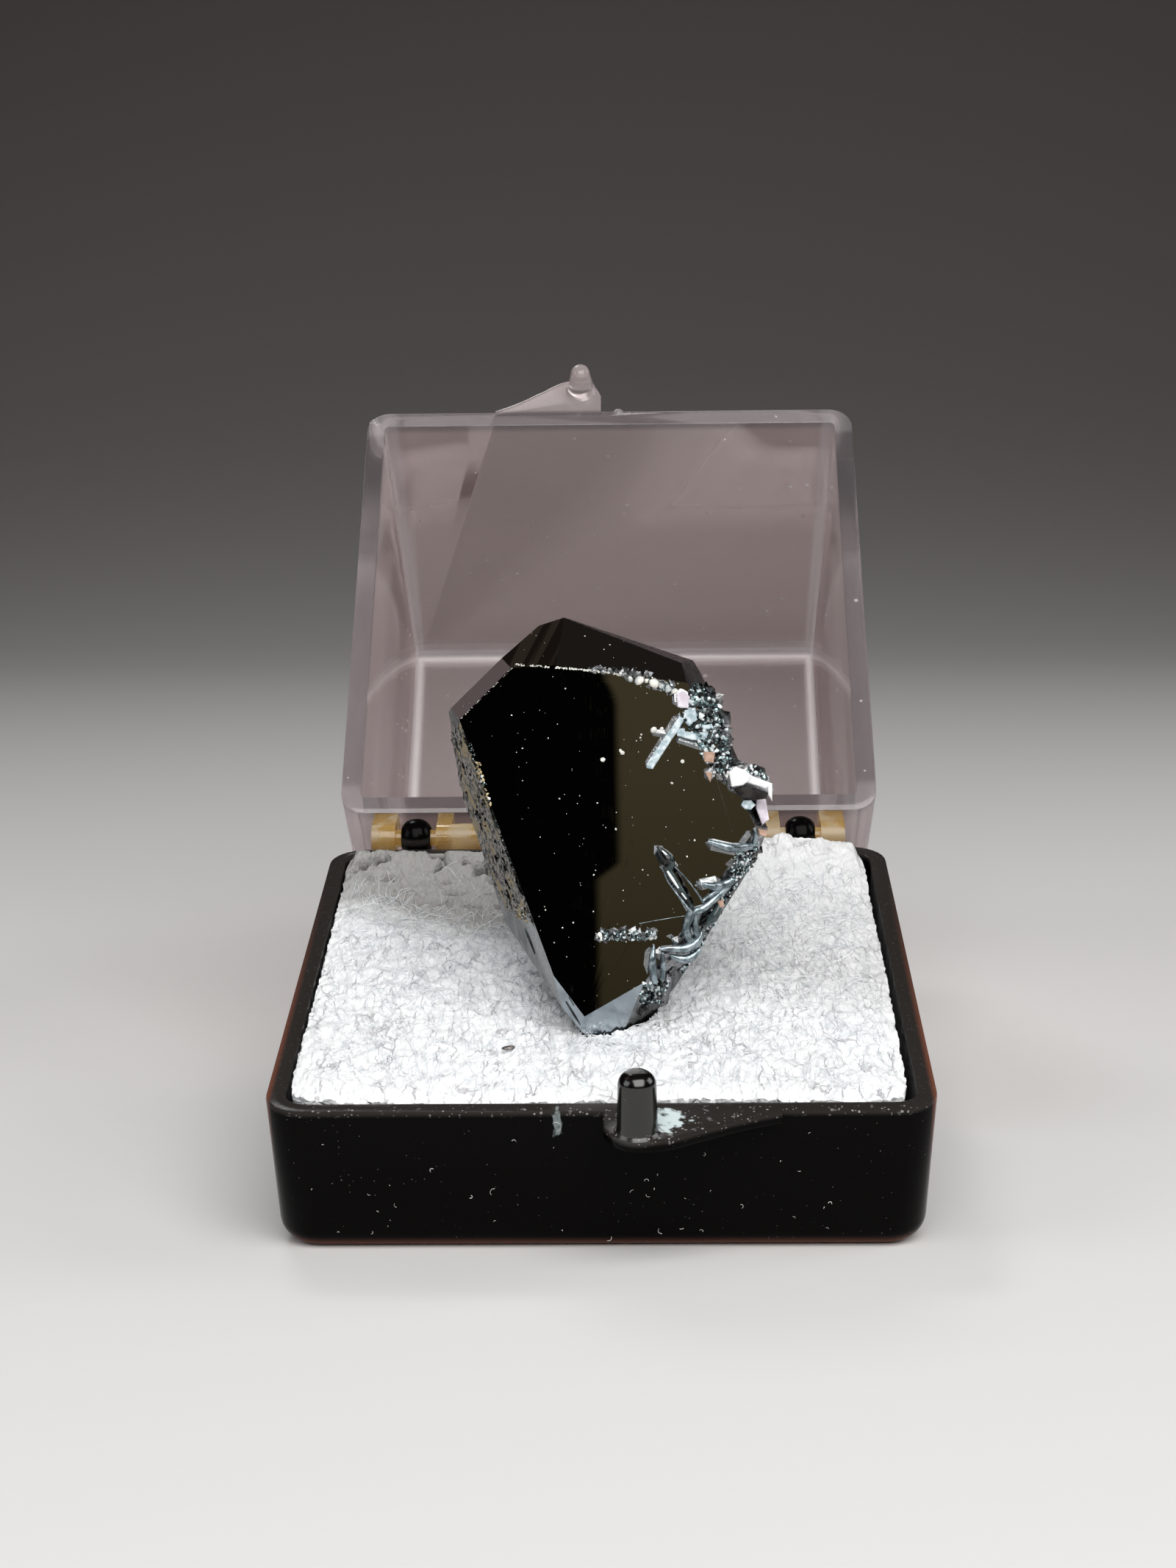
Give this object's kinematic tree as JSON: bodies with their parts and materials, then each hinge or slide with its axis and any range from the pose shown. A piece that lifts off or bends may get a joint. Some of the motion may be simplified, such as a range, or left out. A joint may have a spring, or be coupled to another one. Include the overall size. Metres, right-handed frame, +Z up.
{
  "type": "hematite crystal in a hinged specimen box",
  "caption": "Lustrous black hematite crystal standing in white foam in a small square box with a black tray and a deep clear hinged lid, propped open.",
  "frame": {"origin": "on the table, under the middle of the whole open box", "axes": "+Z up, +Y from the tray's front to the folded-back lid, +X to the right seen from the front"},
  "size_m": [0.032, 0.0778, 0.0435],
  "materials": {
    "tray_plastic": "glossy black moulded plastic, a little worn",
    "foam": "white closed-cell foam, torn and fibrous",
    "hematite": "mirror-bright steel black faces with dark crusts of small crystals",
    "lid_plastic": "clear moulded plastic, slightly hazed"
  },
  "bodies": {
    "box": {"box_tray": "tray_plastic", "foam_pad": "foam", "hematite_crystal": "hematite"},
    "lid": {"box_lid": "lid_plastic"}
  },
  "joints": [
    {"name": "lid_hinge", "type": "hinge", "parent": "box", "child": "lid", "pos_m": [0, -0.0026, 0.01533], "axis": [-1, 0, 0], "range_deg": [-146, 0]}
  ]
}
